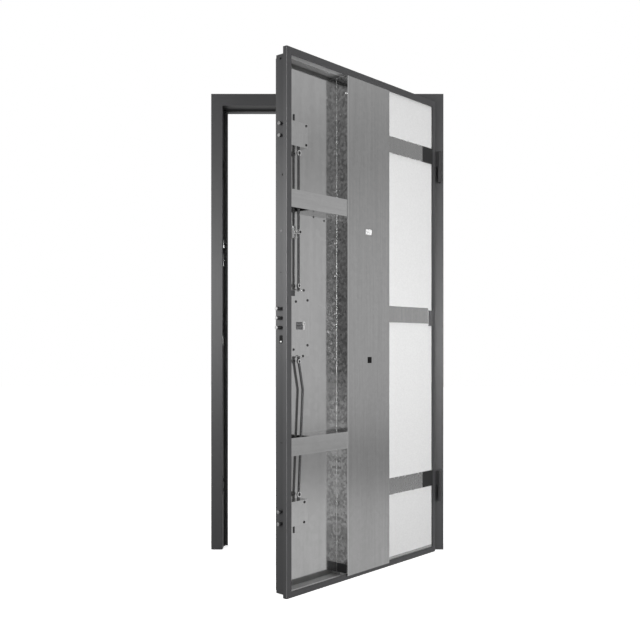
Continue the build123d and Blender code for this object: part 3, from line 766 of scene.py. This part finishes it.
# camera: level, square to the frame, placed from the photo's vanishing point
camera = {
    "lensMm": 49.03, "sensorMm": 36.0, "imagePx": 640.0, "horizonPx": 344.5,
    "distance": 3.940, "height": 0.927, "fromHingeWall": 0.558, "clipEnd": 60.0,
}
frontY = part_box("lock_jamb")[0].y
cameraData = bpy.data.cameras.new("roomCamera")
cameraData.sensor_fit = "HORIZONTAL"
cameraData.sensor_width = camera["sensorMm"]
cameraData.lens = camera["lensMm"]
cameraData.shift_y = (camera["horizonPx"] - camera["imagePx"] / 2) / camera["imagePx"]
cameraData.clip_end = camera["clipEnd"]
cameraPiece = bpy.data.objects.new("roomCamera", cameraData)
cameraPiece.location = (-camera["fromHingeWall"], frontY - camera["distance"], camera["height"])
cameraPiece.rotation_euler = (math.radians(90), 0, 0)
bpy.context.scene.collection.objects.link(cameraPiece)
bpy.context.scene.camera = cameraPiece

# studio: pale floor and white surround that keep the shadow, with soft lamps
studio = {
    # the floor, and what the zinc mirrors of it by distance in metres
    "floorSize": 30.0, "floorDropMm": 0.5, "floorColour": "#f4f4f4", "bounce": "#8c8c8c", "glow": 0.75,
    "mirrored": 0.52, "dimming": (0.6, 2.6, 0.24), "far": (3.2, 7.5, 0.25), "front": (-0.9, -2.0, 0.38),
    # the surround, and what the zinc mirrors of it by heading
    "ambient": 0.34, "ahead": (0.05, 0.25, 0.34, 0.76), "bright": 0.67, "turnAside": (-0.95, -0.4),
    "behind": 0.03, "turnBehind": (0.25, 0.85), "band": (0.215, 0.06, 0.32),
}
floorMesh = bpy.data.meshes.new("studioFloor")
half = studio["floorSize"] / 2
floorMesh.from_pydata([(-half, -half, 0), (half, -half, 0), (half, half, 0), (-half, half, 0)], [], [(0, 1, 2, 3)])
floor = bpy.data.objects.new("studioFloor", floorMesh)
floor.location.z = -studio["floorDropMm"] * mm
bpy.context.scene.collection.objects.link(floor)
floorPaint, tree = newMaterial("paleFloor")
# the camera sees the floor lifted to white, and the door sees it greyer
ray = addNode(tree, "ShaderNodeLightPath")
tone = addNode(tree, "ShaderNodeMix",
               {"data_type": "RGBA", 6: toLinear(studio["bounce"]), 7: toLinear(studio["floorColour"])},
               {0: (ray, "Is Camera Ray")})
matte = addNode(tree, "ShaderNodeBsdfDiffuse", None, {"Color": (tone, 2)})
shown = addNode(tree, "ShaderNodeMath", {"operation": "MULTIPLY", 1: studio["glow"]}, {0: (ray, "Is Camera Ray")})
# what the zinc mirrors: bright by the door, dimmer some metres off, brighter again far away and in front
place = addNode(tree, "ShaderNodeTexCoord")
away = addNode(tree, "ShaderNodeSeparateXYZ", None, {0: (place, "Object")})
start, end, drop = studio["dimming"]
near = addNode(tree, "ShaderNodeMapRange",
               {"interpolation_type": "SMOOTHSTEP", "From Min": start, "From Max": end, "To Min": studio["mirrored"],
                "To Max": studio["mirrored"] - drop}, {"Value": (away, "X")})
start, end, rise = studio["far"]
far = addNode(tree, "ShaderNodeMapRange",
              {"interpolation_type": "SMOOTHSTEP", "From Min": start, "From Max": end, "To Min": 0.0, "To Max": rise},
              {"Value": (away, "X")})
mirrored = addNode(tree, "ShaderNodeMath", {"operation": "ADD"}, {0: (near, 0), 1: (far, 0)})
start, end, rise = studio["front"]
before = addNode(tree, "ShaderNodeMapRange",
                 {"interpolation_type": "SMOOTHSTEP", "From Min": end, "From Max": start, "To Min": rise,
                  "To Max": 0.0}, {"Value": (away, "Y")})
mirrored = addNode(tree, "ShaderNodeMath", {"operation": "ADD"}, {0: (mirrored, 0), 1: (before, 0)})
lift = addNode(tree, "ShaderNodeMath", {"operation": "MULTIPLY_ADD"},
               {0: (ray, "Is Glossy Ray"), 1: (mirrored, 0), 2: (shown, 0)})
glow = addNode(tree, "ShaderNodeEmission", {"Color": (1, 1, 1, 1)}, {"Strength": (lift, 0)})
closeMaterial(tree, addNode(tree, "ShaderNodeAddShader", None, {0: (matte, 0), 1: (glow, 0)}))
floorMesh.materials.append(floorPaint)

world = bpy.data.worlds.new("whiteSurround")
bpy.context.scene.world = world
world.use_nodes = True
tree = world.node_tree
tree.nodes.clear()
# the camera sees white; glossy rays see a room graded by height ahead, bright aside and dim behind the frame
ray = addNode(tree, "ShaderNodeLightPath")
heading = addNode(tree, "ShaderNodeSeparateXYZ", None, {0: (addNode(tree, "ShaderNodeTexCoord"), "Generated")})
low, high, lowLevel, highLevel = studio["ahead"]
ahead = addNode(tree, "ShaderNodeMapRange",
                {"interpolation_type": "SMOOTHSTEP", "From Min": low, "From Max": high, "To Min": lowLevel,
                 "To Max": highLevel}, {"Value": (heading, "Z")})
start, end = studio["turnAside"]
aside = addNode(tree, "ShaderNodeMapRange",
                {"interpolation_type": "SMOOTHSTEP", "From Min": start, "From Max": end, "To Max": studio["bright"]},
                {"Value": (heading, "Y"), "To Min": (ahead, 0)})
start, end = studio["turnBehind"]
dimmed = addNode(tree, "ShaderNodeMapRange",
                 {"interpolation_type": "SMOOTHSTEP", "From Min": start, "From Max": end, "To Min": 1.0,
                  "To Max": studio["behind"]}, {"Value": (heading, "Y")})
room = addNode(tree, "ShaderNodeMath", {"operation": "MULTIPLY"}, {0: (aside, 0), 1: (dimmed, 0)})
# a soft dim band round the room, a little above eye level
bandHeight, bandWidth, bandDepth = studio["band"]
bellCurve = (
    ("SUBTRACT", bandHeight), ("DIVIDE", bandWidth), ("POWER", 2.0), ("MULTIPLY", -1.0), ("EXPONENT", 0.0),
    ("MULTIPLY", -bandDepth), ("ADD", 1.0),
)
band, output = heading, "Z"
for operation, value in bellCurve:
    band = addNode(tree, "ShaderNodeMath", {"operation": operation, 1: value}, {0: (band, output)})
    output = 0
room = addNode(tree, "ShaderNodeMath", {"operation": "MULTIPLY"}, {0: (room, 0), 1: (band, 0)})
soft = addNode(tree, "ShaderNodeMix", {"data_type": "FLOAT", 2: studio["ambient"]},
               {0: (ray, "Is Glossy Ray"), 3: (room, 0)})
level = addNode(tree, "ShaderNodeMix", {"data_type": "FLOAT", 3: 1.0}, {0: (ray, "Is Camera Ray"), 2: (soft, 0)})
surround = addNode(tree, "ShaderNodeBackground", {"Color": (1, 1, 1, 1)}, {"Strength": (level, 0)})
addNode(tree, "ShaderNodeOutputWorld", None, {"Surface": (surround, 0)})

# the two narrow lamps spare the flat zinc, and one the white board, where they would burn out
flatZinc = (
    "back_sheet", "centre_panel", "upper_lock_bar", "lower_lock_bar", "upper_hinge_bar", "middle_hinge_bar",
    "lower_hinge_bar", "lock_case", "upper_deviator", "lower_deviator",
)
openSpread = 180.0
lamps = [
    {"name": "keyLamp", "at": (-1.62, -2.6, 1.3), "to": (-0.8, -0.3, 1.15), "size": (0.7, 0.7), "watts": 6.5,
     "spread": 75.0, "spares": (*flatZinc, "insulation")},
    {"name": "frontLamp", "at": (0.5, -3.9, 1.0), "to": (-0.15, -0.3, 1.0), "size": (0.6, 0.6), "watts": 7.6,
     "spread": 60.0, "spares": flatZinc},
    {"name": "edgeLamp", "at": (-2.2, -1.05, 1.42), "to": (-0.7, -0.8, 1.2), "size": (0.8, 0.9), "watts": 11.0},
    {"name": "fillLamp", "at": (2.8, -3.0, 0.85), "to": (-0.4, -0.3, 0.8), "size": (2.0, 1.5), "watts": 69.0,
     "mirrored": False},
    {"name": "backLamp", "at": (-4.2, 2.0, 1.6), "to": (-0.4, -0.4, 1.0), "size": (1.6, 1.6), "watts": 70.0},
    {"name": "topLamp", "at": (0.4, -1.8, 4.0), "to": (-0.5, -0.4, 0.3), "size": (2.2, 2.2), "watts": 26.0,
     "mirrored": False},
]
for lamp in lamps:
    lampData = bpy.data.lights.new(lamp["name"], "AREA")
    lampData.shape = "RECTANGLE"
    lampData.size, lampData.size_y = lamp["size"]
    lampData.energy = lamp["watts"]
    lampData.spread = math.radians(lamp.get("spread", openSpread))
    lampPiece = bpy.data.objects.new(lamp["name"], lampData)
    lampPiece.location = lamp["at"]
    lampPiece.visible_glossy = lamp.get("mirrored", True)
    if "spares" in lamp:
        spared = bpy.data.collections.new(lamp["name"] + "Spares")
        for node in lamp["spares"]:
            spared.objects.link(nodes[node])
        for row in spared.collection_objects:
            row.light_linking.link_state = "EXCLUDE"
        lampPiece.light_linking.receiver_collection = spared
    aim = Vector(lamp["to"]) - Vector(lamp["at"])
    lampPiece.rotation_euler = aim.to_track_quat("-Z", "Y").to_euler()
    bpy.context.scene.collection.objects.link(lampPiece)
bpy.context.scene.view_settings.view_transform = "Standard"
print("studio ready")
